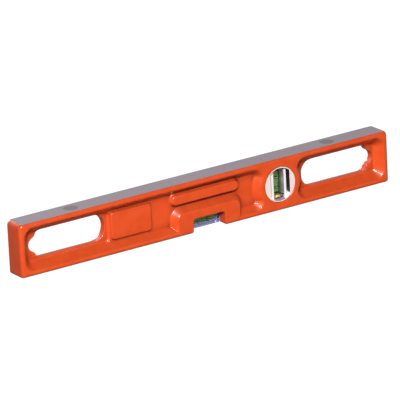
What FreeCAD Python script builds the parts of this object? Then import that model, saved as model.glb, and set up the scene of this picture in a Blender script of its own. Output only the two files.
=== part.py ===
import FreeCAD, Part
import math
import os

import Sketcher

# Magnetic spirit level, millimetres.
# The origin is at the middle of the lower edge: +X runs along the level, +Y goes to the back,
# +Z points up to the machined measuring face. The level stands on its lower edge.

SIZES = {
    # casting, overall
    "body_length": 500.0,
    "body_height": 62.0,
    "body_width": 28.0,
    "machining_allowance": 0.9,
    "end_top_round": 7.0,
    "edge_round": 3.5,
    "lower_round": 3.0,
    # pockets of the front and back
    "rail_face": 5.6,
    "post_face": 5.5,
    "wall_angle": 42.0,
    "hand_pocket_depth": 10.0,
    "hand_pocket_length": 123.0,
    "pocket_corner": 13.0,
    "rim_round": 2.0,
    "centre_pocket_depth": 7.5,
    "centre_pocket_gap": 23.3,
    "floor_round": 3.0,
    # hand holes
    "hole_inset": 24.5,
    "hole_inner_end": 116.5,
    "hole_low": 16.0,
    "hole_top_gap": 13.0,
    "hole_corner": 8.0,
    "bulge_tip": 16.2,
    "bulge_radius": 8.5,
    "bulge_blend": 8.0,
    # long rib
    "rib_shift": -1.5,
    "rib_length": 94.0,
    "rib_boss_gap": 1.4,
    "rib_top_gap": 11.4,
    "rib_rise": 4.4,
    "rib_angle": 30.0,
    "rib_round": 2.0,
    "rib_foot_round": 1.0,
    # raised panel
    "panel_inset": 123.0,
    "panel_length": 54.0,
    "panel_low": 14.5,
    "panel_top_gap": 15.0,
    "panel_corner": 4.0,
    "panel_rise": 1.2,
    "panel_round": 0.6,
    # boss over the level vial, and its notch
    "boss_length": 97.0,
    "boss_top_gap": 28.7,
    "boss_corner": 14.0,
    "boss_foot_round": 1.5,
    "notch_length": 43.0,
    "notch_height": 16.5,
    "notch_corner": 4.0,
    "notch_lip": 3.0,
    "notch_round": 1.0,
    # level vial
    "level_end_gap": 2.6,
    "level_block_length": 36.9,
    "level_block_width": 14.0,
    "level_block_height": 12.9,
    "bedding_thick": 0.5,
    "bedding_inset": 1.9,
    "level_bore": 8.4,
    "level_bore_height": 7.6,
    "level_bore_length": 30.0,
    "level_end_wall": 2.4,
    "barrel_swell": 0.35,
    "level_bubble_length": 11.0,
    "level_bubble_width": 6.6,
    "level_bubble_depth": 2.8,
    "filler_bore": 5.0,
    "gasket_width": 9.0,
    "gasket_thick": 1.0,
    "plug_head": 7.0,
    "plug_head_thick": 1.2,
    "plug_stem": 4.0,
    "level_ring_spacing": 13.0,
    # both vials
    "block_round": 0.5,
    "liquid_gap": 0.05,
    "ring_width": 0.6,
    "ring_depth": 0.25,
    # plumb vial
    "plumb_inset": 151.7,
    "plumb_boss_gap": 4.0,
    "plumb_bore": 42.0,
    "press_gap": 0.1,
    "shell_recess": 0.4,
    "shell_face": 3.2,
    "shell_rim": 1.5,
    "shell_round": 0.8,
    "window_width": 26.4,
    "window_rim": 1.5,
    "carrier_rim": 1.3,
    "rail_width": 3.2,
    "plumb_block_width": 13.9,
    "plumb_block_depth": 20.0,
    "plumb_block_length": 32.0,
    "plumb_vial_bore": 10.6,
    "plumb_end_wall": 2.5,
    "plumb_plug_length": 4.0,
    "plumb_gas_length": 6.0,
    "plumb_ring_spacing": 12.0,
    # magnets
    "magnet_inset": 76.0,
    "magnet_bore": 17.0,
    "magnet_depth": 6.2,
    "magnet_cup_wall": 1.2,
    "magnet_cup_floor": 1.5,
    "magnet_gap": 0.1,
}

doc = FreeCAD.newDocument("magnetic_spirit_level")
sheet = doc.addObject("Spreadsheet::Sheet", "Sizes")
for row, (alias, number) in enumerate(SIZES.items(), start=1):
    sheet.set("A%d" % row, alias)
    sheet.set("B%d" % row, str(number))
    sheet.setAlias("B%d" % row, alias)
doc.recompute()

ORIGIN = (-1, 1)
FIRST, SECOND, MIDDLE = range(1, 4)

# Places that several pieces and cuts share.
PLUMB_X = "body_length / 2 - plumb_inset"
PLUMB_Z = "body_height / 2"
HAND_FLOOR = "body_width / 2 - hand_pocket_depth"
CENTRE_FLOOR = "body_width / 2 - centre_pocket_depth"
HOLE_HIGH = "body_height - hole_top_gap"
BOSS_TOP = "body_height - boss_top_gap"


def formula(text):
    """A size formula written with the sheet's aliases, with the sheet named before each alias."""
    words = []
    word = ""
    for letter in text + " ":
        if letter.isalnum() or letter == "_":
            word += letter
            continue
        words.append("Sizes." + word if word in SIZES else word)
        words.append(letter)
        word = ""
    return "".join(words).strip()


def value(text):
    """The number that a size formula gives."""
    return float(sheet.evalExpression(formula(text)))


def bind(item, **formulas):
    """Bind properties of an object to size formulas."""
    for name, text in formulas.items():
        item.setExpression(name.replace("__", "."), formula(text))


def origin_plane(body, role):
    return [item for item in body.Origin.OriginFeatures if item.Role == role][0]


def new_sketch(body, name, role="XZ_Plane", offset="0"):
    """A sketch on one of the body's own planes, moved along the plane's normal."""
    sketch = body.newObject("Sketcher::SketchObject", name)
    sketch.AttachmentSupport = [(origin_plane(body, role), "")]
    sketch.MapMode = "FlatFace"
    bind(sketch, AttachmentOffset__Base__z=offset)
    return sketch


def limit(sketch, name, kind, element, point, text):
    """Hold one point's distance from the sketch origin, bound to a formula."""
    sketch.addConstraint(Sketcher.Constraint(kind, *ORIGIN, element, point, value(text)))
    index = sketch.ConstraintCount - 1
    sketch.renameConstraint(index, name)
    sketch.setExpression("Constraints." + name, formula(text))


def size(sketch, name, kind, element, text):
    """Hold one element's radius or diameter, bound to a formula."""
    sketch.addConstraint(Sketcher.Constraint(kind, element, value(text)))
    index = sketch.ConstraintCount - 1
    sketch.renameConstraint(index, name)
    sketch.setExpression("Constraints." + name, formula(text))


def line(x1, y1, x2, y2):
    return Part.LineSegment(FreeCAD.Vector(x1, y1, 0), FreeCAD.Vector(x2, y2, 0))


def arc(x, y, radius, start, end):
    circle = Part.Circle(FreeCAD.Vector(x, y, 0), FreeCAD.Vector(0, 0, 1), radius)
    return Part.ArcOfCircle(circle, math.radians(start), math.radians(end))


def rectangle(sketch, left, right, low, high):
    x1, x2, y1, y2 = value(left), value(right), value(low), value(high)
    sketch.addGeometry([line(x1, y1, x2, y1), line(x2, y1, x2, y2),
                        line(x2, y2, x1, y2), line(x1, y2, x1, y1)])
    for side in range(4):
        sketch.addConstraint(Sketcher.Constraint("Coincident", side, SECOND, (side + 1) % 4, FIRST))
    for side in (0, 2):
        sketch.addConstraint(Sketcher.Constraint("Horizontal", side))
    for side in (1, 3):
        sketch.addConstraint(Sketcher.Constraint("Vertical", side))
    limit(sketch, "Left", "DistanceX", 3, FIRST, left)
    limit(sketch, "Right", "DistanceX", 1, FIRST, right)
    limit(sketch, "Low", "DistanceY", 0, FIRST, low)
    limit(sketch, "High", "DistanceY", 2, FIRST, high)


def rounded_rectangle(sketch, left, right, low, high, corner):
    x1, x2, y1, y2, r = value(left), value(right), value(low), value(high), value(corner)
    sketch.addGeometry([
        line(x1 + r, y1, x2 - r, y1), arc(x2 - r, y1 + r, r, -90, 0),
        line(x2, y1 + r, x2, y2 - r), arc(x2 - r, y2 - r, r, 0, 90),
        line(x2 - r, y2, x1 + r, y2), arc(x1 + r, y2 - r, r, 90, 180),
        line(x1, y2 - r, x1, y1 + r), arc(x1 + r, y1 + r, r, 180, 270)])
    for side in range(8):
        sketch.addConstraint(Sketcher.Constraint("Tangent", side, SECOND, (side + 1) % 8, FIRST))
    for side in (0, 4):
        sketch.addConstraint(Sketcher.Constraint("Horizontal", side))
    for side in (2, 6):
        sketch.addConstraint(Sketcher.Constraint("Vertical", side))
    for side in (3, 5, 7):
        sketch.addConstraint(Sketcher.Constraint("Equal", 1, side))
    size(sketch, "Corner", "Radius", 1, corner)
    limit(sketch, "Left", "DistanceX", 6, FIRST, left)
    limit(sketch, "Right", "DistanceX", 2, FIRST, right)
    limit(sketch, "Low", "DistanceY", 0, FIRST, low)
    limit(sketch, "High", "DistanceY", 4, FIRST, high)


def circle_at(sketch, x, y, diameter):
    centre = FreeCAD.Vector(value(x), value(y), 0)
    sketch.addGeometry(Part.Circle(centre, FreeCAD.Vector(0, 0, 1), value(diameter) / 2))
    size(sketch, "Diameter", "Diameter", 0, diameter)
    limit(sketch, "Across", "DistanceX", 0, MIDDLE, x)
    limit(sketch, "Up", "DistanceY", 0, MIDDLE, y)


def pad(body, sketch, name, length, taper="0", midplane=False, reverse=False):
    feature = body.newObject("PartDesign::Pad", name)
    feature.Profile = sketch
    feature.Midplane = midplane
    feature.Reversed = reverse
    bind(feature, Length=length, TaperAngle=taper)
    doc.recompute()
    return feature


def pocket(body, sketch, name, length, taper="0", midplane=False, reverse=False):
    feature = body.newObject("PartDesign::Pocket", name)
    feature.Profile = sketch
    feature.Midplane = midplane
    feature.Reversed = reverse
    bind(feature, Length=length, TaperAngle=taper)
    before = feature.BaseFeature.Shape.Volume
    doc.recompute()
    if feature.Shape.Volume >= before - 1e-3:
        raise RuntimeError(name + " cuts nothing")
    return feature


def fillet(body, name, radius, test):
    """Round every edge of the body so far that passes the test."""
    base = body.Tip
    edges = ["Edge%d" % (i + 1) for i, edge in enumerate(base.Shape.Edges) if test(edge)]
    if not edges:
        raise RuntimeError(name + " finds no edge")
    feature = body.newObject("PartDesign::Fillet", name)
    feature.Base = (base, edges)
    bind(feature, Radius=radius)
    doc.recompute()
    return feature


def near(a, b, slack=0.01):
    return abs(a - b) < slack


def flat_in(box, axis, place):
    """Whether a bounding box is a flat one at a place along an axis, 0 to 2 for X to Z."""
    low = (box.XMin, box.YMin, box.ZMin)[axis]
    high = (box.XMax, box.YMax, box.ZMax)[axis]
    return near(low, place) and near(high, place)


def hand_hole(sketch):
    """The outline of the right hand hole: a round inner end, and a bulge that flows into the outer end."""
    low, high = value("hole_low"), value(HOLE_HIGH)
    corner, bow, blend = value("hole_corner"), value("bulge_radius"), value("bulge_blend")
    middle, big = (low + high) / 2, (high - low) / 2
    turn = value("body_length / 2 - hole_inner_end") + big
    corner_x = value("body_length / 2 - hole_inset - hole_corner")
    bow_x = value("body_length / 2 - bulge_tip - bulge_radius")

    # the blend's middle, by its distances from the middles of the corner and the bulge
    across, along = big - corner, bow_x - corner_x
    apart = math.hypot(across, along)
    first, second = corner + blend, bow + blend
    share = (first ** 2 - second ** 2 + apart ** 2) / (2 * apart)
    off = math.sqrt(first ** 2 - share ** 2)
    blend_x = corner_x + (share * along + off * across) / apart
    blend_up = across - (share * across - off * along) / apart
    lean = math.degrees(math.atan2(blend_up - across, blend_x - corner_x))
    steep = math.degrees(math.atan2(blend_up, blend_x - bow_x))
    sketch.addGeometry([
        line(turn, low, corner_x, low), arc(corner_x, low + corner, corner, -90, -lean),
        arc(blend_x, middle - blend_up, blend, 180 - steep, 180 - lean),
        arc(bow_x, middle, bow, -steep, steep),
        arc(blend_x, middle + blend_up, blend, 180 + lean, 180 + steep),
        arc(corner_x, high - corner, corner, lean, 90), line(corner_x, high, turn, high),
        arc(turn, middle, big, 90, 270)])
    joints = ((0, SECOND, 1, FIRST), (1, SECOND, 2, SECOND), (2, FIRST, 3, FIRST), (3, SECOND, 4, SECOND),
              (4, FIRST, 5, FIRST), (5, SECOND, 6, FIRST), (6, SECOND, 7, FIRST), (7, SECOND, 0, FIRST))
    for joint in joints:
        sketch.addConstraint(Sketcher.Constraint("Tangent", *joint))
    for side in (0, 6):
        sketch.addConstraint(Sketcher.Constraint("Horizontal", side))
    sketch.addConstraint(Sketcher.Constraint("Equal", 1, 5))
    sketch.addConstraint(Sketcher.Constraint("Equal", 2, 4))
    size(sketch, "Corner", "Radius", 1, "hole_corner")
    size(sketch, "Blend", "Radius", 2, "bulge_blend")
    size(sketch, "Bulge", "Radius", 3, "bulge_radius")
    limit(sketch, "Low", "DistanceY", 0, FIRST, "hole_low")
    limit(sketch, "High", "DistanceY", 6, FIRST, HOLE_HIGH)
    limit(sketch, "CornerLow", "DistanceX", 1, MIDDLE, "body_length / 2 - hole_inset - hole_corner")
    limit(sketch, "CornerHigh", "DistanceX", 5, MIDDLE, "body_length / 2 - hole_inset - hole_corner")
    limit(sketch, "BulgeAcross", "DistanceX", 3, MIDDLE, "body_length / 2 - bulge_tip - bulge_radius")
    limit(sketch, "BulgeUp", "DistanceY", 3, MIDDLE, "(hole_low + %s) / 2" % HOLE_HIGH)
    limit(sketch, "Turn", "DistanceX", 7, MIDDLE,
          "body_length / 2 - hole_inner_end + (%s - hole_low) / 2" % HOLE_HIGH)


def rounds_of_the_casting(body):
    """The rounds along the rims of the pockets, at the feet of the walls and on the rib."""
    hand_floor, centre_floor = value(HAND_FLOOR), value(CENTRE_FLOOR)
    face = value("body_width / 2")
    rib_top = value(CENTRE_FLOOR + " + rib_rise")
    low, high = value("lower_round"), value("body_height - edge_round")
    boss_end, boss_top = value("boss_length / 2"), value(BOSS_TOP)
    rib_left, rib_right = value("rib_shift - rib_length / 2"), value("rib_shift + rib_length / 2")
    seat = value(PLUMB_X)

    def at_depth(edge, depth):
        box = edge.BoundBox
        level = near(box.YLength, 0) and near(box.YMin, -depth)
        return level and box.ZMin > low and box.ZMax < high

    def rib_foot(edge):
        box = edge.BoundBox
        in_length = box.XMin > rib_left - 1 and box.XMax < rib_right + 1
        return at_depth(edge, centre_floor) and box.ZMin > boss_top + 0.1 and in_length

    def boss_foot(edge):
        box = edge.BoundBox
        on_boss = box.XMin > -boss_end - 1 and box.XMax < boss_end + 1 and box.ZMax < boss_top + 0.1
        beyond_boss = box.XMin > boss_end - 1 and not rib_foot(edge)
        return at_depth(edge, centre_floor) and (on_boss or beyond_boss)

    fillet(body, "RimRoundRight", "rim_round", lambda e: at_depth(e, face) and e.BoundBox.XMin > seat)
    fillet(body, "RimRoundLeft", "rim_round", lambda e: at_depth(e, face) and e.BoundBox.XMin < seat)
    fillet(body, "HandFloorRound", "floor_round", lambda e: at_depth(e, hand_floor))
    fillet(body, "BossFootRound", "boss_foot_round", boss_foot)
    fillet(body, "RibFootRound", "rib_foot_round", rib_foot)
    fillet(body, "RibTopRound", "rib_round", lambda e: at_depth(e, rib_top))


def notch_outline(sketch):
    """The notch of the level vial, with round upper corners and a lip that flares at the lower edge."""
    half, top, corner, lip = (value("notch_length / 2"), value("notch_height"), value("notch_corner"),
                              value("notch_lip"))
    below = -lip
    sketch.addGeometry([
        line(-half - lip, below, half + lip, below), line(half + lip, below, half + lip, 0),
        arc(half + lip, lip, lip, 180, 270), line(half, lip, half, top - corner),
        arc(half - corner, top - corner, corner, 0, 90), line(half - corner, top, -half + corner, top),
        arc(-half + corner, top - corner, corner, 90, 180), line(-half, top - corner, -half, lip),
        arc(-half - lip, lip, lip, 270, 360), line(-half - lip, 0, -half - lip, below)])
    corners = ((0, SECOND, 1, FIRST), (1, SECOND, 2, SECOND), (8, FIRST, 9, FIRST), (9, SECOND, 0, FIRST))
    for pair in corners:
        sketch.addConstraint(Sketcher.Constraint("Coincident", *pair))
    smooth = ((2, FIRST, 3, FIRST), (3, SECOND, 4, FIRST), (4, SECOND, 5, FIRST), (5, SECOND, 6, FIRST),
              (6, SECOND, 7, FIRST), (7, SECOND, 8, SECOND))
    for pair in smooth:
        sketch.addConstraint(Sketcher.Constraint("Tangent", *pair))
    for side in (0, 5):
        sketch.addConstraint(Sketcher.Constraint("Horizontal", side))
    for side in (1, 3, 7, 9):
        sketch.addConstraint(Sketcher.Constraint("Vertical", side))
    sketch.addConstraint(Sketcher.Constraint("Equal", 4, 6))
    sketch.addConstraint(Sketcher.Constraint("Equal", 2, 8))
    size(sketch, "Corner", "Radius", 4, "notch_corner")
    size(sketch, "Lip", "Radius", 2, "notch_lip")
    limit(sketch, "Left", "DistanceX", 7, FIRST, "-notch_length / 2")
    limit(sketch, "Right", "DistanceX", 3, FIRST, "notch_length / 2")
    limit(sketch, "High", "DistanceY", 5, FIRST, "notch_height")
    limit(sketch, "LipFoot", "DistanceY", 2, SECOND, "0")
    limit(sketch, "LipFootLeft", "DistanceY", 8, FIRST, "0")
    limit(sketch, "Low", "DistanceY", 0, FIRST, "-notch_lip")


def build_level_body():
    body = doc.addObject("PartDesign::Body", "level_body")
    half_length = value("body_length / 2")
    half_width = value("body_width / 2")
    cast_top = value("body_height + machining_allowance")

    # front half of the casting, from its middle plane to the front face
    blank = new_sketch(body, "BlankOutline")
    rectangle(blank, "-body_length / 2", "body_length / 2", "0", "body_height + machining_allowance")
    pad(body, blank, "Blank", "body_width", midplane=True)
    fillet(body, "EndTopRound", "end_top_round",
           lambda e: flat_in(e.BoundBox, 2, cast_top) and near(abs(e.BoundBox.XMin), half_length)
           and near(e.BoundBox.XLength, 0))
    fillet(body, "EdgeRound", "edge_round",
           lambda e: near(abs(e.BoundBox.YMin), half_width) and near(e.BoundBox.YLength, 0)
           and e.BoundBox.ZMax > 1.0)

    # pockets, at their full outline on the front face
    front = "body_width / 2"
    low, high = "rail_face", "body_height - rail_face"
    outer, inner = "body_length / 2 - post_face", "body_length / 2 - post_face - hand_pocket_length"
    for name, left, right in (("Left", "-(%s)" % outer, "-(%s)" % inner), ("Right", inner, outer)):
        sketch = new_sketch(body, "HandPocketOutline" + name, offset=front)
        rounded_rectangle(sketch, left, right, low, high, "pocket_corner")
        pocket(body, sketch, "HandPocket" + name, "hand_pocket_depth", "-wall_angle")
    sketch = new_sketch(body, "CentrePocketOutline", offset=front)
    rounded_rectangle(sketch, "-(%s) - 2 * pocket_corner" % inner, PLUMB_X + " - centre_pocket_gap",
                      low, high, "pocket_corner")
    pocket(body, sketch, "CentrePocket", "centre_pocket_depth", "-wall_angle")

    # boss round the plumb vial, a cone that widens to the webs
    sketch = new_sketch(body, "PlumbBossOutline", offset=HAND_FLOOR)
    circle_at(sketch, PLUMB_X, PLUMB_Z,
              "body_height - 2 * plumb_boss_gap + 2 * hand_pocket_depth * tan(wall_angle)")
    pad(body, sketch, "PlumbBoss", "hand_pocket_depth", "-wall_angle")
    # boss over the level vial, down to the lower edge
    sketch = new_sketch(body, "LevelBossOutline", offset=CENTRE_FLOOR)
    rounded_rectangle(sketch, "-boss_length / 2", "boss_length / 2", "-(%s)" % BOSS_TOP, BOSS_TOP,
                      "boss_corner")
    pad(body, sketch, "LevelBoss", "centre_pocket_depth", "-wall_angle")
    # long rib
    rib_low, rib_high = BOSS_TOP + " + rib_boss_gap", "body_height - rib_top_gap"
    sketch = new_sketch(body, "RibOutline", offset=CENTRE_FLOOR)
    rounded_rectangle(sketch, "rib_shift - rib_length / 2", "rib_shift + rib_length / 2",
                      rib_low, rib_high, "(%s - (%s)) / 2.1" % (rib_high, rib_low))
    pad(body, sketch, "Rib", "rib_rise", "-rib_angle")
    rounds_of_the_casting(body)

    # what the bosses leave past the lower edge
    sketch = new_sketch(body, "LowerTrimOutline")
    rectangle(sketch, "-body_length / 2 + 1", "body_length / 2 - 1", "-body_height", "0")
    pocket(body, sketch, "LowerTrim", "2 * body_width", midplane=True)
    fillet(body, "LowerRound", "lower_round",
           lambda e: flat_in(e.BoundBox, 2, 0.0) and near(e.BoundBox.YMin, -half_width))

    # the back half is alike: it is cut off and made again as a mirror image of the front half
    sketch = new_sketch(body, "HalfOutline")
    rectangle(sketch, "-body_length", "body_length", "-body_height", "2 * body_height")
    pocket(body, sketch, "FrontHalf", "body_width")
    mirrored = body.newObject("PartDesign::Mirrored", "BackHalf")
    mirrored.TransformMode = "Whole shape"
    mirrored.MirrorPlane = (origin_plane(body, "XZ_Plane"), [""])
    mirrored.Refine = True
    body.Tip = mirrored
    doc.recompute()

    # milled measuring face
    sketch = new_sketch(body, "MillOutline")
    rectangle(sketch, "-body_length", "body_length", "body_height", "2 * body_height")
    pocket(body, sketch, "MachinedFace", "2 * body_width", midplane=True)
    # notch of the level vial
    sketch = new_sketch(body, "NotchOutline")
    notch_outline(sketch)
    pocket(body, sketch, "Notch", "2 * body_width", midplane=True)
    ceiling, notch_end = value("notch_height"), value("notch_length / 2 + notch_lip")
    lip_top = value("lower_round")
    fillet(body, "NotchRound", "notch_round",
           lambda e: near(abs(e.BoundBox.YMin), half_width) and near(e.BoundBox.YLength, 0)
           and lip_top + 0.1 < e.BoundBox.ZMax < ceiling + 0.1
           and max(abs(e.BoundBox.XMin), abs(e.BoundBox.XMax)) < notch_end)

    # hand holes, the left one a mirror image of the right one
    sketch = new_sketch(body, "HandHoleOutline")
    hand_hole(sketch)
    hole = pocket(body, sketch, "HandHoleRight", "body_width", midplane=True)
    other = body.newObject("PartDesign::Mirrored", "HandHoleLeft")
    other.Originals = [hole]
    other.MirrorPlane = (origin_plane(body, "YZ_Plane"), [""])
    body.Tip = other
    doc.recompute()
    if other.Shape.Volume >= hole.Shape.Volume - 1:
        raise RuntimeError("HandHoleLeft cuts nothing")

    # plain raised panel, on the front only
    panel_left = "panel_inset - body_length / 2"
    sketch = new_sketch(body, "PanelOutline", offset=CENTRE_FLOOR)
    rounded_rectangle(sketch, panel_left, panel_left + " + panel_length", "panel_low",
                      "body_height - panel_top_gap", "panel_corner")
    pad(body, sketch, "Panel", "panel_rise", "-rib_angle")
    panel_top = value(CENTRE_FLOOR + " + panel_rise")
    fillet(body, "PanelRound", "panel_round", lambda e: flat_in(e.BoundBox, 1, -panel_top))

    # round seat of the plumb vial
    sketch = new_sketch(body, "PlumbSeatOutline")
    circle_at(sketch, PLUMB_X, PLUMB_Z, "plumb_bore")
    pocket(body, sketch, "PlumbSeat", "2 * body_width", midplane=True)
    # blind seats of the magnets in the measuring face
    for name, side in (("Left", -1), ("Right", 1)):
        sketch = new_sketch(body, "MagnetSeatOutline" + name, "XY_Plane", "body_height")
        circle_at(sketch, "%d * (body_length / 2 - magnet_inset)" % side, "0", "magnet_bore")
        pocket(body, sketch, "MagnetSeat" + name, "magnet_depth")
    return body


def band_in_circle(sketch, x, z, width, diameter):
    """A circle cut off straight at its left and right, a band of the given width."""
    cx, cz, half, radius = value(x), value(z), value(width) / 2, value(diameter) / 2
    end = math.degrees(math.acos(half / radius))
    rise = math.sqrt(radius ** 2 - half ** 2)
    sketch.addGeometry([
        line(cx + half, cz - rise, cx + half, cz + rise), arc(cx, cz, radius, end, 180 - end),
        line(cx - half, cz + rise, cx - half, cz - rise), arc(cx, cz, radius, 180 + end, 360 - end)])
    for side in range(4):
        sketch.addConstraint(Sketcher.Constraint("Coincident", side, SECOND, (side + 1) % 4, FIRST))
    sketch.addConstraint(Sketcher.Constraint("Vertical", 0))
    sketch.addConstraint(Sketcher.Constraint("Vertical", 2))
    sketch.addConstraint(Sketcher.Constraint("Coincident", 1, MIDDLE, 3, MIDDLE))
    size(sketch, "Diameter", "Diameter", 1, diameter)
    limit(sketch, "Across", "DistanceX", 1, MIDDLE, x)
    limit(sketch, "Up", "DistanceY", 1, MIDDLE, z)
    limit(sketch, "Right", "DistanceX", 0, FIRST, "%s + (%s) / 2" % (x, width))
    limit(sketch, "Left", "DistanceX", 2, FIRST, "%s - (%s) / 2" % (x, width))


def turned(body, name, left, right, diameter, kind="Revolution"):
    """A cylinder turned about the body's own X axis, added to the body or cut from it."""
    sketch = new_sketch(body, name + "Profile")
    rectangle(sketch, left, right, "0", "(%s) / 2" % diameter)
    return revolve(body, sketch, name, kind)


def revolve(body, sketch, name, kind):
    feature = body.newObject("PartDesign::" + kind, name)
    feature.Profile = sketch
    feature.ReferenceAxis = (sketch, ["H_Axis"])
    feature.Angle = 360
    before = feature.BaseFeature.Shape.Volume if feature.BaseFeature else 0
    doc.recompute()
    if near(feature.Shape.Volume, before, 1e-3):
        raise RuntimeError(name + " changes nothing")
    return feature


def barrel(body, name, shrink, kind="Revolution"):
    """The level vial's barrel, widest in the middle, on the body's own X axis."""
    sketch = new_sketch(body, name + "Profile")
    half, swell = value("level_bore_length / 2 - %s" % shrink), value("barrel_swell")
    end = value("level_bore / 2 - %s" % shrink)
    radius = (half ** 2 + swell ** 2) / (2 * swell)
    lean = math.degrees(math.asin(half / radius))
    sketch.addGeometry([
        line(-half, 0, half, 0), line(half, 0, half, end),
        arc(0, end + swell - radius, radius, 90 - lean, 90 + lean), line(-half, end, -half, 0)])
    for side in range(4):
        sketch.addConstraint(Sketcher.Constraint("Coincident", side, SECOND, (side + 1) % 4, FIRST))
    for side in (1, 3):
        sketch.addConstraint(Sketcher.Constraint("Vertical", side))
    limit(sketch, "Left", "DistanceX", 0, FIRST, "-(level_bore_length / 2 - %s)" % shrink)
    limit(sketch, "Right", "DistanceX", 0, SECOND, "level_bore_length / 2 - %s" % shrink)
    limit(sketch, "AxisLeft", "DistanceY", 0, FIRST, "0")
    limit(sketch, "AxisRight", "DistanceY", 0, SECOND, "0")
    limit(sketch, "EndLeft", "DistanceY", 3, FIRST, "level_bore / 2 - %s" % shrink)
    limit(sketch, "EndRight", "DistanceY", 1, SECOND, "level_bore / 2 - %s" % shrink)
    size(sketch, "Bow", "Radius", 2,
         "((level_bore_length / 2 - %s)^2 + barrel_swell^2) / (2 * barrel_swell)" % shrink)
    return revolve(body, sketch, name, kind)


def place(item, x="0", y="0", z="0"):
    bind(item, Placement__Base__x=x, Placement__Base__y=y, Placement__Base__z=z)


# The level vial's pieces share one frame: its origin is the middle of the barrel, on its axis.
LEVEL_LEFT = "-notch_length / 2 + level_end_gap"
LEVEL_X = LEVEL_LEFT + " + level_end_wall + level_bore_length / 2"
LEVEL_Z = "notch_height - bedding_thick - level_block_height + level_bore_height"
BLOCK_LEFT = "-(level_end_wall + level_bore_length / 2)"
BLOCK_RIGHT = BLOCK_LEFT + " + level_block_length"
BLOCK_TOP = "level_block_height - level_bore_height"


def level_piece(name):
    body = doc.addObject("PartDesign::Body", name)
    place(body, x=LEVEL_X, z=LEVEL_Z)
    return body


def build_level_vial():
    block = level_piece("level_vial_block")
    sketch = new_sketch(block, "BlockOutline")
    rectangle(sketch, BLOCK_LEFT, BLOCK_RIGHT, "-level_bore_height", BLOCK_TOP)
    pad(block, sketch, "Block", "level_block_width", midplane=True)
    half_width = value("level_block_width / 2")
    fillet(block, "BlockRound", "block_round",
           lambda e: near(abs(e.BoundBox.YMin), half_width) and near(e.BoundBox.YLength, 0))
    barrel(block, "Barrel", "0", "Groove")
    turned(block, "Filler", "level_bore_length / 2 - 1", BLOCK_RIGHT, "filler_bore", "Groove")
    for side in (-1, 1):
        middle = "%d * level_ring_spacing / 2" % side
        turned(block, "RingSeat" + ("Left" if side < 0 else "Right"), middle + " - ring_width / 2",
               middle + " + ring_width / 2", "level_bore + 2 * (barrel_swell + ring_depth)", "Groove")

    liquid = level_piece("level_vial_liquid")
    barrel(liquid, "Filling", "liquid_gap")
    bubble = liquid.newObject("PartDesign::SubtractiveEllipsoid", "Bubble")
    bubble.AttachmentSupport = [(origin_plane(liquid, "XY_Plane"), "")]
    bubble.MapMode = "FlatFace"
    bind(bubble, Radius1="level_bubble_depth", Radius2="level_bubble_length / 2",
         Radius3="level_bubble_width / 2",
         AttachmentOffset__Base__z="level_bore / 2 + barrel_swell - liquid_gap / 2")
    before = bubble.BaseFeature.Shape.Volume
    doc.recompute()
    if bubble.Shape.Volume > before - 1:
        raise RuntimeError("Bubble cuts nothing")

    pieces = [block, liquid]
    for name, side in (("left", -1), ("right", 1)):
        ring = level_piece("level_vial_ring_" + name)
        middle = "%d * level_ring_spacing / 2" % side
        ends = (middle + " - ring_width / 2", middle + " + ring_width / 2")
        turned(ring, "Ring", *ends, "level_bore + 2 * (barrel_swell + ring_depth)")
        turned(ring, "Inside", *ends, "level_bore + 2 * barrel_swell", "Groove")
        pieces.append(ring)

    gasket = level_piece("level_vial_gasket")
    gasket_right = BLOCK_RIGHT + " + gasket_thick"
    turned(gasket, "Washer", BLOCK_RIGHT, gasket_right, "gasket_width")
    turned(gasket, "Inside", BLOCK_RIGHT, gasket_right, "filler_bore", "Groove")
    plug = level_piece("level_vial_plug")
    turned(plug, "Stem", BLOCK_RIGHT + " - plug_stem", gasket_right, "filler_bore - 2 * press_gap")
    turned(plug, "Head", gasket_right, gasket_right + " + plug_head_thick", "plug_head")

    bedding = level_piece("level_vial_bedding")
    sketch = new_sketch(bedding, "BeddingOutline")
    rectangle(sketch, BLOCK_LEFT + " + bedding_inset", BLOCK_RIGHT + " - bedding_inset",
              BLOCK_TOP, BLOCK_TOP + " + bedding_thick")
    pad(bedding, sketch, "Bedding", "level_block_width - 2 * block_round", midplane=True)
    return pieces + [gasket, plug, bedding]


def plumb_piece(name):
    body = doc.addObject("PartDesign::Body", name)
    place(body, x=PLUMB_X, z=PLUMB_Z)
    return body


# The plumb vial's pieces share one frame: its origin is the middle of the round seat.
SHELL_FACE = "body_width / 2 - shell_recess"
SHELL = "plumb_bore - 2 * press_gap"
CARRIER = SHELL + " - 2 * shell_rim - 2 * press_gap"
CARRIER_DEPTH = "body_width - 2 * shell_recess - 2 * shell_face"


def build_plumb_shell(name, back):
    body = plumb_piece(name)
    sketch = new_sketch(body, "ShellOutline")
    circle_at(sketch, "0", "0", SHELL)
    pad(body, sketch, "Shell", SHELL_FACE, reverse=back)
    outside = value(SHELL_FACE)
    fillet(body, "ShellRound", "shell_round",
           lambda e: near(abs(e.BoundBox.YMin), outside) and near(e.BoundBox.YLength, 0))
    sketch = new_sketch(body, "InsideOutline")
    circle_at(sketch, "0", "0", SHELL + " - 2 * shell_rim")
    pocket(body, sketch, "Inside", CARRIER_DEPTH, midplane=True)
    sketch = new_sketch(body, "WindowOutline")
    band_in_circle(sketch, "0", "0", "window_width", SHELL + " - 2 * window_rim")
    pocket(body, sketch, "Window", "2 * body_width", midplane=True)
    return body


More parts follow.
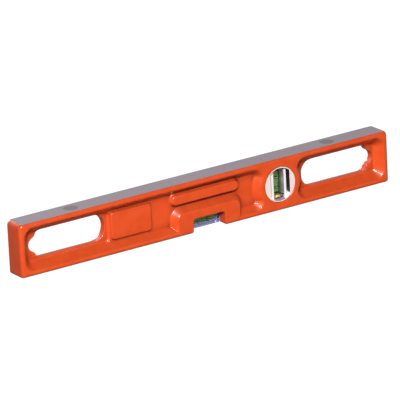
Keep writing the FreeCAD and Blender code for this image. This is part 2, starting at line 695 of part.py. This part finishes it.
def build_plumb_vial():
    pieces = [build_plumb_shell("plumb_shell_front", False), build_plumb_shell("plumb_shell_back", True)]

    carrier = plumb_piece("plumb_vial_carrier")
    sketch = new_sketch(carrier, "CarrierOutline")
    circle_at(sketch, "0", "0", CARRIER)
    pad(carrier, sketch, "Carrier", CARRIER_DEPTH, midplane=True)
    opening = CARRIER + " - 2 * carrier_rim"
    sketch = new_sketch(carrier, "BlockSeatOutline")
    band_in_circle(sketch, "0", "0", "plumb_block_width", opening)
    pocket(carrier, sketch, "BlockSeat", "2 * body_width", midplane=True)
    for name, side in (("Left", -1), ("Right", 1)):
        sketch = new_sketch(carrier, "SlotOutline" + name)
        slot_outline(sketch, side, "plumb_block_width / 2 + rail_width", opening)
        pocket(carrier, sketch, "Slot" + name, "2 * body_width", midplane=True)
    pieces.append(carrier)

    top, bottom = "plumb_block_length / 2", "-plumb_block_length / 2"
    block = plumb_piece("plumb_vial_block")
    sketch = new_sketch(block, "BlockOutline")
    rectangle(sketch, "-plumb_block_width / 2", "plumb_block_width / 2", bottom, top)
    pad(block, sketch, "Block", "plumb_block_depth", midplane=True)
    half_depth = value("plumb_block_depth / 2")
    fillet(block, "BlockRound", "block_round",
           lambda e: near(abs(e.BoundBox.YMin), half_depth) and near(e.BoundBox.YLength, 0))
    sketch = new_sketch(block, "BoreOutline", "XY_Plane", bottom)
    circle_at(sketch, "0", "0", "plumb_vial_bore")
    pocket(block, sketch, "Bore", "plumb_block_length - plumb_end_wall", reverse=True)
    for name, side in (("Lower", -1), ("Upper", 1)):
        sketch = new_sketch(block, "RingSeatOutline" + name, "XY_Plane",
                            "%d * plumb_ring_spacing / 2" % side)
        circle_at(sketch, "0", "0", "plumb_vial_bore + 2 * ring_depth")
        pocket(block, sketch, "RingSeat" + name, "ring_width", midplane=True)
    pieces.append(block)

    plug = plumb_piece("plumb_vial_plug")
    sketch = new_sketch(plug, "PlugOutline", "XY_Plane", bottom)
    circle_at(sketch, "0", "0", "plumb_vial_bore - 2 * press_gap")
    pad(plug, sketch, "Plug", "plumb_plug_length")
    liquid = plumb_piece("plumb_vial_liquid")
    sketch = new_sketch(liquid, "LiquidOutline", "XY_Plane", bottom + " + plumb_plug_length")
    circle_at(sketch, "0", "0", "plumb_vial_bore - 2 * liquid_gap")
    pad(liquid, sketch, "Liquid",
        "plumb_block_length - plumb_end_wall - plumb_plug_length - plumb_gas_length")
    pieces += [plug, liquid]
    for name, side in (("lower", -1), ("upper", 1)):
        ring = plumb_piece("plumb_vial_ring_" + name)
        height = "%d * plumb_ring_spacing / 2" % side
        sketch = new_sketch(ring, "RingOutline", "XY_Plane", height)
        circle_at(sketch, "0", "0", "plumb_vial_bore + 2 * ring_depth")
        pad(ring, sketch, "Ring", "ring_width", midplane=True)
        sketch = new_sketch(ring, "InsideOutline", "XY_Plane", height)
        circle_at(sketch, "0", "0", "plumb_vial_bore")
        pocket(ring, sketch, "Inside", "2 * ring_width", midplane=True)
        pieces.append(ring)
    return pieces


def slot_outline(sketch, side, near_side, diameter):
    """The part of a circle beyond a vertical line, on the side that the sign names."""
    away, radius = value(near_side), value(diameter) / 2
    end = math.degrees(math.acos(away / radius))
    rise = math.sqrt(radius ** 2 - away ** 2)
    if side > 0:
        shapes = [line(away, rise, away, -rise), arc(0, 0, radius, -end, end)]
    else:
        shapes = [line(-away, -rise, -away, rise), arc(0, 0, radius, 180 - end, 180 + end)]
    sketch.addGeometry(shapes)
    sketch.addConstraint(Sketcher.Constraint("Coincident", 0, SECOND, 1, FIRST))
    sketch.addConstraint(Sketcher.Constraint("Coincident", 1, SECOND, 0, FIRST))
    sketch.addConstraint(Sketcher.Constraint("Vertical", 0))
    sketch.addConstraint(Sketcher.Constraint("Coincident", 1, MIDDLE, *ORIGIN))
    size(sketch, "Diameter", "Diameter", 1, diameter)
    limit(sketch, "Near", "DistanceX", 0, FIRST, "%d * (%s)" % (side, near_side))


def build_magnet(side):
    """A steel cup in its seat, flush with the measuring face, and the magnet in the cup."""
    name = "left" if side < 0 else "right"
    across = "%d * (body_length / 2 - magnet_inset)" % side
    outer = "magnet_bore - 2 * press_gap"
    inner = outer + " - 2 * magnet_cup_wall"
    cup = doc.addObject("PartDesign::Body", "magnet_cup_" + name)
    place(cup, x=across, z="body_height - magnet_depth")
    sketch = new_sketch(cup, "CupOutline", "XY_Plane")
    circle_at(sketch, "0", "0", outer)
    pad(cup, sketch, "Cup", "magnet_depth")
    sketch = new_sketch(cup, "CupInside", "XY_Plane", "magnet_depth")
    circle_at(sketch, "0", "0", inner)
    pocket(cup, sketch, "Inside", "magnet_depth - magnet_cup_floor")
    core = doc.addObject("PartDesign::Body", "magnet_core_" + name)
    place(core, x=across, z="body_height - magnet_depth + magnet_cup_floor")
    sketch = new_sketch(core, "CoreOutline", "XY_Plane")
    circle_at(sketch, "0", "0", inner + " - 2 * magnet_gap")
    pad(core, sketch, "Core", "magnet_depth - magnet_cup_floor")
    return [cup, core]


parts = [build_level_body()] + build_magnet(-1) + build_magnet(1) + build_level_vial() + build_plumb_vial()
doc.recompute()

for item in doc.Objects:
    if "Invalid" in item.State or "Error" in item.State:
        raise RuntimeError(item.Name + " did not build: " + ", ".join(item.State))
for part in parts:
    if part.Shape.isNull() or not part.Shape.isValid() or len(part.Shape.Solids) != 1:
        raise RuntimeError(part.Label + " is not one valid solid")

os.makedirs("parts", exist_ok=True)
for part in parts:
    part.Shape.exportStep("parts/%s.step" % part.Label)
    print(part.Label, round(part.Shape.Volume, 1))
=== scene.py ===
import math

import bmesh
import bpy
from mathutils import Matrix, Vector


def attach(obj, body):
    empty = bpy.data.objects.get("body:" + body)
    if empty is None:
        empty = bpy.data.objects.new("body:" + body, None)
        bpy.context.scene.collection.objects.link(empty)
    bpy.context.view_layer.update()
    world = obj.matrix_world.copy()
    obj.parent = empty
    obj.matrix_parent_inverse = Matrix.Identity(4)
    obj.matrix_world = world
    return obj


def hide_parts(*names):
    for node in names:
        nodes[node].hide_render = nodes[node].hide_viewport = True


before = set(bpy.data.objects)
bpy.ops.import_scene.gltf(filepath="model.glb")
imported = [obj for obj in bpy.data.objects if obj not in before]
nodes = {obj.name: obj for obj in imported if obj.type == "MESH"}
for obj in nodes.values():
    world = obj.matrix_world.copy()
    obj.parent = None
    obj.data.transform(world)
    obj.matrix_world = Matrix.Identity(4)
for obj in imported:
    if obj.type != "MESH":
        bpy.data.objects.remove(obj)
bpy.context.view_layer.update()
scene = bpy.context.scene
MM = 0.001
WHITE = (1.0, 1.0, 1.0)
# Painted shade: near-black colour laid on the deep slots beside the plumb vial.
SLOT_PAINTED_SHADE = (0.030, 0.022, 0.025)

# Places in the part's frame, millimetres.
LEVEL_AXIS = (-1.5, 0.0, 10.7)
PLUMB_AXIS = (98.3, 0.0, 31.0)
MEASURING_FACE = 62.0
MILLED_FROM = MEASURING_FACE - 0.02

# Distances from the vials' axes that tell their walls apart, millimetres.
PLUMB_BORE_REACH = 5.6
PLUMB_LIQUID_CORE = 5.1
PLUMB_BLOCK_SIDE = 6.9
LEVEL_BORE_REACH = 4.7
LEVEL_LIQUID_CORE = 4.0

# Noise scales, per metre.
CAST_GRAIN = 420.0
CAST_WAVE = 90.0
MOULDED_PORES = 900.0
CUTTER_LINES = 60.0
CUTTER_STRETCH = (0.35, 30.0, 1.0)


# Shader helpers

def material(name):
    made = bpy.data.materials.new(name)
    made.use_nodes = True
    tree = made.node_tree
    tree.nodes.clear()
    out = tree.nodes.new("ShaderNodeOutputMaterial")
    return made, tree, out


def node(tree, kind, links=None, **settings):
    """A shader node: settings name its own properties, links its inputs, as a value or as a socket."""
    made = tree.nodes.new("ShaderNode" + kind)
    for name, setting in settings.items():
        setattr(made, name, setting)
    for name, given in (links or {}).items():
        socket = made.inputs[name]
        if isinstance(given, bpy.types.NodeSocket):
            tree.links.new(given, socket)
        else:
            socket.default_value = given
    return made


def arith(tree, operation, first, second=0.0):
    return node(tree, "Math", {0: first, 1: second}, operation=operation).outputs[0]


def mapped(tree, value, low, high, to_low=0.0, to_high=1.0):
    """A value moved from the range low to high into another range, and held inside it."""
    return node(tree, "MapRange", {0: value, 1: low, 2: high, 3: to_low, 4: to_high}).outputs[0]


def fade(tree, length, start, end):
    """Share that goes from 0 to 1 while a length in the part goes from start to end, in millimetres."""
    return mapped(tree, length, start * MM, end * MM)


def ramp(tree, factor, stops):
    made = node(tree, "ValToRGB", {"Fac": factor})
    band = made.color_ramp
    while len(band.elements) < len(stops):
        band.elements.new(0.5)
    for element, (place, colour) in zip(band.elements, stops):
        element.position = place
        element.color = (*colour, 1.0)
    return made.outputs["Color"]


def part_place(tree):
    """The place on the part in its own metres, so that a pattern stays on the part."""
    return node(tree, "TexCoord").outputs["Object"]


def parts_of(tree, vector):
    return node(tree, "SeparateXYZ", {"Vector": vector}).outputs


def grain(tree, scale, detail, stretch=None):
    """Fractal noise on the part."""
    place = part_place(tree)
    if stretch is not None:
        place = node(tree, "Mapping", {"Vector": place, "Scale": stretch}).outputs["Vector"]
    return node(tree, "TexNoise", {"Vector": place, "Scale": scale, "Detail": detail}).outputs["Fac"]


def multiplied(tree, colour, *shades):
    for shade in shades:
        links = {"Factor": 1.0, "A": colour, "B": shade}
        colour = node(tree, "Mix", links, data_type="RGBA", blend_type="MULTIPLY").outputs["Result"]
    return colour


def mixed(tree, share, first, second):
    return node(tree, "Mix", {"Factor": share, "A": first, "B": second}, data_type="RGBA").outputs["Result"]


def bump(tree, height, strength, distance, **more):
    links = {"Height": height, "Strength": strength, "Distance": distance, **more}
    return node(tree, "Bump", links).outputs["Normal"]


def finish_with(tree, out, shader):
    tree.links.new(shader.outputs[0], out.inputs["Surface"])


def use(made, *names):
    for name in names:
        slots = nodes[name].data.materials
        slots.clear()
        slots.append(made)


# Materials of the casting and the magnets

def painted_shade_on_paint(tree):
    """Painted shade on the paint: darker in corners that lean down or right, darker along the bottom edge, and
    darker on faces that look up.
    """
    facing = parts_of(tree, node(tree, "TexCoord").outputs["Normal"])
    height = parts_of(tree, part_place(tree))["Z"]
    # Painted shade: corners found by ambient occlusion are darkened, most where the surface leans down or
    # right.
    corner = node(tree, "AmbientOcclusion", {"Distance": 0.012}, samples=8, only_local=True)
    hidden = mapped(tree, corner.outputs["AO"], 1.0, 0.0)
    lean = mapped(tree, arith(tree, "SUBTRACT", facing["X"], facing["Z"]), -0.6, 0.8, 0.35, 3.0)
    open_share = arith(tree, "SUBTRACT", 1.0, arith(tree, "MULTIPLY", hidden, lean))
    painted_corner_shade = ramp(tree, open_share, (
        (0.28, (0.06, 0.03, 0.03)), (0.66, (0.46, 0.41, 0.41)), (0.92, WHITE)))
    # Painted shade: a thin band along the bottom edge of the casting is darkened.
    painted_foot_shade = ramp(tree, fade(tree, height, 0.0, 3.0), ((0.04, (0.25, 0.16, 0.16)), (0.24, WHITE)))
    # Painted shade: faces that look up are darkened.
    painted_top_shade = ramp(tree, facing["Z"], ((0.10, WHITE), (0.75, (0.66, 0.69, 0.72))))
    return painted_corner_shade, painted_foot_shade, painted_top_shade


def gloss_paint(tree):
    cast = grain(tree, CAST_GRAIN, 3.0)
    wave = grain(tree, CAST_WAVE, 1.0)
    tone = ramp(tree, wave, ((0.35, (0.790, 0.080, 0.012)), (0.65, (0.840, 0.092, 0.016))))
    soft_edge = node(tree, "Bevel", {"Radius": 0.0020}, samples=8).outputs["Normal"]
    # The paint's base colour carries the painted shade.
    return node(tree, "BsdfPrincipled", {
        "Base Color": multiplied(tree, tone, *painted_shade_on_paint(tree)), "Roughness": 0.38, "IOR": 1.42,
        "Normal": bump(tree, cast, 0.12, 0.0004, Normal=soft_edge),
        "Coat Weight": 0.5, "Coat Roughness": 0.045,
        "Coat Normal": bump(tree, wave, 0.05, 0.0010, Normal=soft_edge)})


def milled_metal(tree):
    lines = grain(tree, CUTTER_LINES, 4.0, CUTTER_STRETCH)
    cloud = grain(tree, 45.0, 3.0)
    streaks = ramp(tree, lines, ((0.28, (0.215, 0.180, 0.204)), (0.72, (0.380, 0.324, 0.362))))
    return node(tree, "BsdfPrincipled", {
        "Base Color": mixed(tree, cloud, streaks, (0.292, 0.248, 0.278, 1.0)), "Metallic": 0.10,
        "Roughness": 0.65, "Specular IOR Level": 0.25, "Normal": bump(tree, lines, 0.15, 0.0002)})


def paint_and_milled_face():
    """Orange gloss paint on a sand casting, and the bare milled face where the casting reaches its top."""
    made, tree, out = material("cast_body")
    height = parts_of(tree, part_place(tree))["Z"]
    is_milled = arith(tree, "GREATER_THAN", height, MILLED_FROM * MM)
    paint, metal = gloss_paint(tree), milled_metal(tree)
    both = node(tree, "MixShader", {"Fac": is_milled, 1: paint.outputs[0], 2: metal.outputs[0]})
    finish_with(tree, out, both)
    return made


def steel(name, colour, roughness):
    """Steel ground flush with the milled face."""
    made, tree, out = material(name)
    lines = grain(tree, CUTTER_LINES, 4.0, CUTTER_STRETCH)
    shade = ramp(tree, lines, ((0.3, tuple(0.88 * part for part in colour)), (0.7, colour)))
    surface = node(tree, "BsdfPrincipled", {
        "Base Color": shade, "Metallic": 0.1, "Roughness": roughness, "Specular IOR Level": 0.25,
        "Normal": bump(tree, lines, 0.12, 0.0002)})
    finish_with(tree, out, surface)
    return made


# Materials of the vials

def moulded(name, colour, roughness, coat, glow):
    """Opaque moulded plastic, with a little light under its skin where glow is above 0."""
    made, tree, out = material(name)
    surface = node(tree, "BsdfPrincipled", {
        "Base Color": (*colour, 1.0), "Roughness": roughness, "Coat Weight": coat, "Coat Roughness": 0.15,
        "Subsurface Weight": glow, "Subsurface Scale": 0.002, "Subsurface Radius": (1.0, 0.7, 0.5),
        "Normal": bump(tree, grain(tree, MOULDED_PORES, 2.0), 0.05, 0.0002)})
    finish_with(tree, out, surface)
    return made


def from_axis(tree, axis, along):
    """How far a point of the part is from an axis, and how far it is along it, in metres."""
    start = tuple(part * MM for part in axis)
    offset = node(tree, "VectorMath", {0: part_place(tree), 1: start}, operation="SUBTRACT").outputs[0]
    flat = tuple(0.0 if letter == along else 1.0 for letter in "XYZ")
    across = node(tree, "VectorMath", {0: offset, 1: flat}, operation="MULTIPLY").outputs[0]
    radius = node(tree, "VectorMath", {0: across}, operation="LENGTH").outputs["Value"]
    return radius, parts_of(tree, offset)[along]


def plumb_bore_wall(tree):
    """The bore of the plumb vial's block, and the two sides that are held by the carrier."""
    inside = arith(tree, "LESS_THAN", from_axis(tree, PLUMB_AXIS, "Z")[0], PLUMB_BORE_REACH * MM)
    aside = arith(tree, "ABSOLUTE", from_axis(tree, PLUMB_AXIS, "X")[1])
    held = arith(tree, "GREATER_THAN", aside, PLUMB_BLOCK_SIDE * MM)
    return arith(tree, "MAXIMUM", inside, held)


def plumb_top_tint(tree):
    """A green tint on the bore wall above the liquid, which darkens what is seen through the empty top of the
    bore.
    """
    radius, height = from_axis(tree, PLUMB_AXIS, "Z")
    inside = arith(tree, "LESS_THAN", radius, PLUMB_BORE_REACH * MM)
    above_liquid = arith(tree, "MULTIPLY", inside, fade(tree, height, 7.5, 8.5))
    return ramp(tree, above_liquid, ((0.0, WHITE), (0.5, (0.45, 0.75, 0.28)), (1.0, (0.36, 0.42, 0.24))))


def plumb_liquid_side(tree):
    return arith(tree, "GREATER_THAN", from_axis(tree, PLUMB_AXIS, "Z")[0], PLUMB_LIQUID_CORE * MM)


def level_bore_wall(tree):
    return arith(tree, "LESS_THAN", from_axis(tree, LEVEL_AXIS, "X")[0], LEVEL_BORE_REACH * MM)


def level_liquid_side(tree):
    return arith(tree, "GREATER_THAN", from_axis(tree, LEVEL_AXIS, "X")[0], LEVEL_LIQUID_CORE * MM)


def clear(name, tint, density, wetted, roughness=0.02, top_tint=None):
    """Polished tinted acrylic or liquid. Shadow rays pass straight through it, so what it holds is lit.

    Where acrylic and liquid touch, their thin clearance isn't seen: those walls neither bend nor mirror light.
    """
    made, tree, out = material(name)
    ripple = grain(tree, 250.0, 1.0)
    glass = node(tree, "BsdfPrincipled", {
        "Base Color": (*WHITE, 1.0), "Roughness": roughness, "IOR": 1.49, "Transmission Weight": 1.0,
        "Normal": bump(tree, ripple, 0.02, 0.0002)})
    thin = node(tree, "BsdfTransparent", {"Color": top_tint(tree) if top_tint else (*WHITE, 1.0)})
    is_shadow = node(tree, "LightPath").outputs["Is Shadow Ray"]
    passes = arith(tree, "MAXIMUM", is_shadow, wetted(tree))
    both = node(tree, "MixShader", {"Fac": passes, 1: glass.outputs[0], 2: thin.outputs[0]})
    finish_with(tree, out, both)
    fill = node(tree, "VolumeAbsorption", {"Color": (*tint, 1.0), "Density": density})
    tree.links.new(fill.outputs[0], out.inputs["Volume"])
    return made


def white_plastic(name, colour):
    """White moulded plastic round the plumb vial, with painted light and shade on it.

    Painted shade darkens the deep slots beside the vial and the ledge under it, and the sides next to it
    carry painted light: bands of the green light that the liquid throws, with yellow and violet grey.
    """
    made, tree, out = material(name)
    centre = tuple(part * MM for part in PLUMB_AXIS)
    offset = node(tree, "VectorMath", {0: part_place(tree), 1: centre}, operation="SUBTRACT").outputs[0]
    parts = parts_of(tree, offset)
    aside = arith(tree, "ABSOLUTE", parts["X"])
    depth = arith(tree, "ABSOLUTE", parts["Y"])
    off_face = fade(tree, depth, 13.5, 13.1)

    # Painted shade: the slots beside the vial are made nearly black.
    in_slot = arith(tree, "MULTIPLY", fade(tree, aside, 10.1, 10.4), off_face)
    in_slot = arith(tree, "MULTIPLY", in_slot, fade(tree, parts["Z"], -13.5, -11.5))
    painted_slot_shade = ramp(tree, in_slot, ((0.0, WHITE), (1.0, SLOT_PAINTED_SHADE)))

    # Painted shade on the ledge under the vial.
    on_ledge = arith(tree, "MULTIPLY", fade(tree, depth, 9.4, 8.6), fade(tree, parts["Z"], -13.0, -13.6))
    painted_ledge_shade = ramp(tree, on_ledge, ((0.0, WHITE), (1.0, (0.20, 0.17, 0.24))))

    # Painted light: green, yellow and violet grey bands on the sides next to the vial.
    by_vial = arith(tree, "MULTIPLY", fade(tree, aside, 7.3, 7.0), off_face)
    painted_thrown_light = ramp(tree, fade(tree, depth, 0.0, 10.0), (
        (0.33, (0.12, 0.26, 0.06)), (0.40, (0.90, 0.75, 0.20)), (0.48, (0.34, 0.26, 0.34))))

    darker = tuple(0.97 * part for part in colour)
    tone = ramp(tree, grain(tree, 120.0, 1.0), ((0.3, darker), (0.7, colour)))
    tone = mixed(tree, by_vial, tone, painted_thrown_light)
    surface = node(tree, "BsdfPrincipled", {
        "Base Color": multiplied(tree, tone, painted_slot_shade, painted_ledge_shade), "Roughness": 0.35,
        "Coat Weight": 0.3, "Coat Roughness": 0.15,
        "Normal": bump(tree, grain(tree, MOULDED_PORES, 2.0), 0.05, 0.0002)})
    finish_with(tree, out, surface)
    return made


def plug_plastic():
    """The amber plug of the plumb vial: its top is wet with the green liquid."""
    made, tree, out = material("plug_amber")
    share = fade(tree, parts_of(tree, part_place(tree))["Z"], 15.0, 19.0)
    colour = ramp(tree, share, (
        (0.25, (0.80, 0.55, 0.10)), (0.45, (0.72, 0.18, 0.03)), (0.60, (0.05, 0.12, 0.03))))
    surface = node(tree, "BsdfPrincipled", {"Base Color": colour, "Roughness": 0.35, "Coat Weight": 0.3})
    finish_with(tree, out, surface)
    return made


body_skin = paint_and_milled_face()
cup_steel = steel("magnet_cup_steel", (0.225, 0.20, 0.213), 0.62)
core_grey = steel("magnet_core_grey", (0.21, 0.187, 0.20), 0.64)
pale_acrylic = clear("pale_acrylic", (0.40, 0.36, 0.46), 65.0, plumb_bore_wall, top_tint=plumb_top_tint)
violet_acrylic = clear("violet_acrylic", (0.21, 0.21, 0.56), 120.0, level_bore_wall)
plumb_spirit = clear("plumb_spirit", (0.42, 0.66, 0.25), 260.0, plumb_liquid_side, 0.0)
level_spirit = clear("level_spirit", (0.48, 0.62, 0.26), 520.0, level_liquid_side, 0.0)
ring_ink = moulded("ring_ink", (0.02, 0.05, 0.02), 0.4, 0.2, 0.0)
gasket_rubber = moulded("gasket_rubber", (0.02, 0.02, 0.022), 0.6, 0.0, 0.0)
carrier_white = white_plastic("carrier_white", (1.0, 0.97, 0.95))
shell_white = white_plastic("shell_white", (1.0, 0.81, 0.75))
plug_amber = plug_plastic()
bedding_grey = moulded("bedding_grey", (0.80, 0.80, 0.78), 0.6, 0.0, 0.1)


# Pieces

def refined(name, new_name, angle, made):
    """A copy of a CAD node's mesh, its points joined and its faces shaded smooth up to an angle."""
    source = nodes[name]
    mesh = bpy.data.meshes.new(new_name)
    work = bmesh.new()
    work.from_mesh(source.data)
    bmesh.ops.remove_doubles(work, verts=work.verts, dist=0.000002)
    bmesh.ops.dissolve_degenerate(work, edges=work.edges, dist=0.000001)
    bmesh.ops.recalc_face_normals(work, faces=work.faces)
    for face in work.faces:
        face.smooth = True
    for edge in work.edges:
        edge.smooth = not edge.is_manifold or edge.calc_face_angle(0.0) < math.radians(angle)
    work.to_mesh(mesh)
    work.free()
    piece = bpy.data.objects.new(new_name, mesh)
    scene.collection.objects.link(piece)
    mesh.materials.append(made)
    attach(piece, "root")
    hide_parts(name)
    return piece


body = refined("level_body", "cast_body", 24.0, body_skin)

use(cup_steel, "magnet_cup_left", "magnet_cup_right")
use(core_grey, "magnet_core_left", "magnet_core_right")
use(violet_acrylic, "level_vial_block")
use(pale_acrylic, "plumb_vial_block")
use(plumb_spirit, "plumb_vial_liquid")
use(level_spirit, "level_vial_liquid")
use(ring_ink, "level_vial_ring_left", "level_vial_ring_right")
use(ring_ink, "plumb_vial_ring_lower", "plumb_vial_ring_upper")
use(gasket_rubber, "level_vial_gasket")
use(shell_white, "plumb_shell_front", "plumb_shell_back")
use(carrier_white, "plumb_vial_carrier", "level_vial_plug")
use(plug_amber, "plumb_vial_plug")
use(bedding_grey, "level_vial_bedding")


# Camera: fitted to the straight edges of the level in the photograph, millimetres.
AZIMUTH, ELEVATION, ROLL = math.radians(-33.167), math.radians(18.700), math.radians(-2.885)
AIM = Vector((0.0, -14.0, 28.0))
DISTANCE, ACROSS, UP = 5260.84, -10.279, 6.568
LENS, SENSOR = 420.93, 36.0


def way_to(azimuth, elevation):
    """The direction from the part: azimuth 0 is in front, negative to the left."""
    return Vector((math.sin(azimuth) * math.cos(elevation), -math.cos(azimuth) * math.cos(elevation),
                   math.sin(elevation)))


back = way_to(AZIMUTH, ELEVATION)
level_right = Vector((math.cos(AZIMUTH), math.sin(AZIMUTH), 0.0))
level_up = back.cross(level_right)
right = math.cos(ROLL) * level_right + math.sin(ROLL) * level_up
up = -math.sin(ROLL) * level_right + math.cos(ROLL) * level_up
turn = Matrix((right, up, back)).transposed().to_4x4()
camera = bpy.data.objects.new("camera", bpy.data.cameras.new("camera"))
scene.collection.objects.link(camera)
camera.matrix_world = Matrix.Translation((AIM + back * DISTANCE + right * ACROSS + up * UP) * MM) @ turn
camera.data.lens = LENS
camera.data.sensor_width = SENSOR
camera.data.clip_end = 50.0
scene.camera = camera


# Floor, world and lights
FLOOR_REACH = 6.0
FLOOR_DROP = 0.0002
LIT_CENTRE = Vector((0.0, 0.0, 0.03))


def by_ray(tree, camera_shader, glossy_shader, other_shader):
    """One shader for camera rays and rays through clear parts, one for glossy rays and one for the rest."""
    path = node(tree, "LightPath")
    seen = arith(tree, "MAXIMUM", path.outputs["Is Camera Ray"], path.outputs["Is Transmission Ray"])
    is_glossy = path.outputs["Is Glossy Ray"]
    rest = node(tree, "MixShader", {"Fac": is_glossy, 1: other_shader, 2: glossy_shader})
    return node(tree, "MixShader", {"Fac": seen, 1: rest.outputs[0], 2: camera_shader})


def floor_white():
    """A floor that looks plain white and keeps a faint shadow, but throws little light back at the part."""
    made, tree, out = material("floor_white")
    lit = node(tree, "BsdfDiffuse", {"Color": (0.12, 0.12, 0.12, 1.0)})
    glow = node(tree, "Emission", {"Color": (*WHITE, 1.0), "Strength": 0.955})
    seen = node(tree, "AddShader", {0: lit.outputs[0], 1: glow.outputs[0]})
    gloss = node(tree, "Emission", {"Color": (*WHITE, 1.0), "Strength": 0.18})
    dim = node(tree, "BsdfDiffuse", {"Color": (0.05, 0.05, 0.05, 1.0)})
    finish_with(tree, out, by_ray(tree, seen.outputs[0], gloss.outputs[0], dim.outputs[0]))
    return made


def studio_floor():
    mesh = bpy.data.meshes.new("floor")
    corners = [(-1, -1), (1, -1), (1, 1), (-1, 1)]
    points = [(x * FLOOR_REACH, y * FLOOR_REACH, 0.0) for x, y in corners]
    mesh.from_pydata(points, [], [(0, 1, 2, 3)])
    mesh.materials.append(floor_white())
    made = bpy.data.objects.new("floor", mesh)
    made.location.z = -FLOOR_DROP
    scene.collection.objects.link(made)
    return made


floor = studio_floor()


def studio_world():
    """White behind everything; for the light on the part, pale walls at the back and a dim room in front."""
    world = bpy.data.worlds.new("studio")
    world.use_nodes = True
    tree = world.node_tree
    tree.nodes.clear()
    out = tree.nodes.new("ShaderNodeOutputWorld")
    depth = parts_of(tree, node(tree, "TexCoord").outputs["Generated"])["Y"]
    room = ramp(tree, depth, ((0.0, (0.06, 0.06, 0.06)), (0.35, (0.30, 0.29, 0.30))))
    white = node(tree, "Background", {"Color": (*WHITE, 1.0), "Strength": 1.0})
    walls = node(tree, "Background", {"Color": room, "Strength": 1.0})
    dim = node(tree, "Background", {"Color": room, "Strength": 0.60})
    finish_with(tree, out, by_ray(tree, white.outputs[0], walls.outputs[0], dim.outputs[0]))
    return world


scene.world = studio_world()


def soft_light(name, azimuth, elevation, distance, across, power, gloss=1.0):
    """A square soft box that faces the part, in degrees, metres and watts."""
    data = bpy.data.lights.new(name, "AREA")
    data.shape = "SQUARE"
    data.size = across
    data.energy = power
    data.specular_factor = gloss
    way = way_to(math.radians(azimuth), math.radians(elevation))
    lamp = bpy.data.objects.new(name, data)
    scene.collection.objects.link(lamp)
    lamp.location = LIT_CENTRE + way * distance
    lamp.rotation_euler = way.to_track_quat("Z", "Y").to_euler()
    return lamp


soft_light("key", -31.0, 35.0, 4.0, 1.10, 214.0, gloss=0.04)
soft_light("rear", 180.0, 16.0, 4.0, 1.40, 130.0, gloss=0.0)
soft_light("low", -22.0, -8.0, 2.5, 0.60, 10.0, gloss=0.0)
soft_light("spark", -48.0, 38.0, 2.5, 0.08, 1.8)

scene.view_settings.view_transform = "Standard"
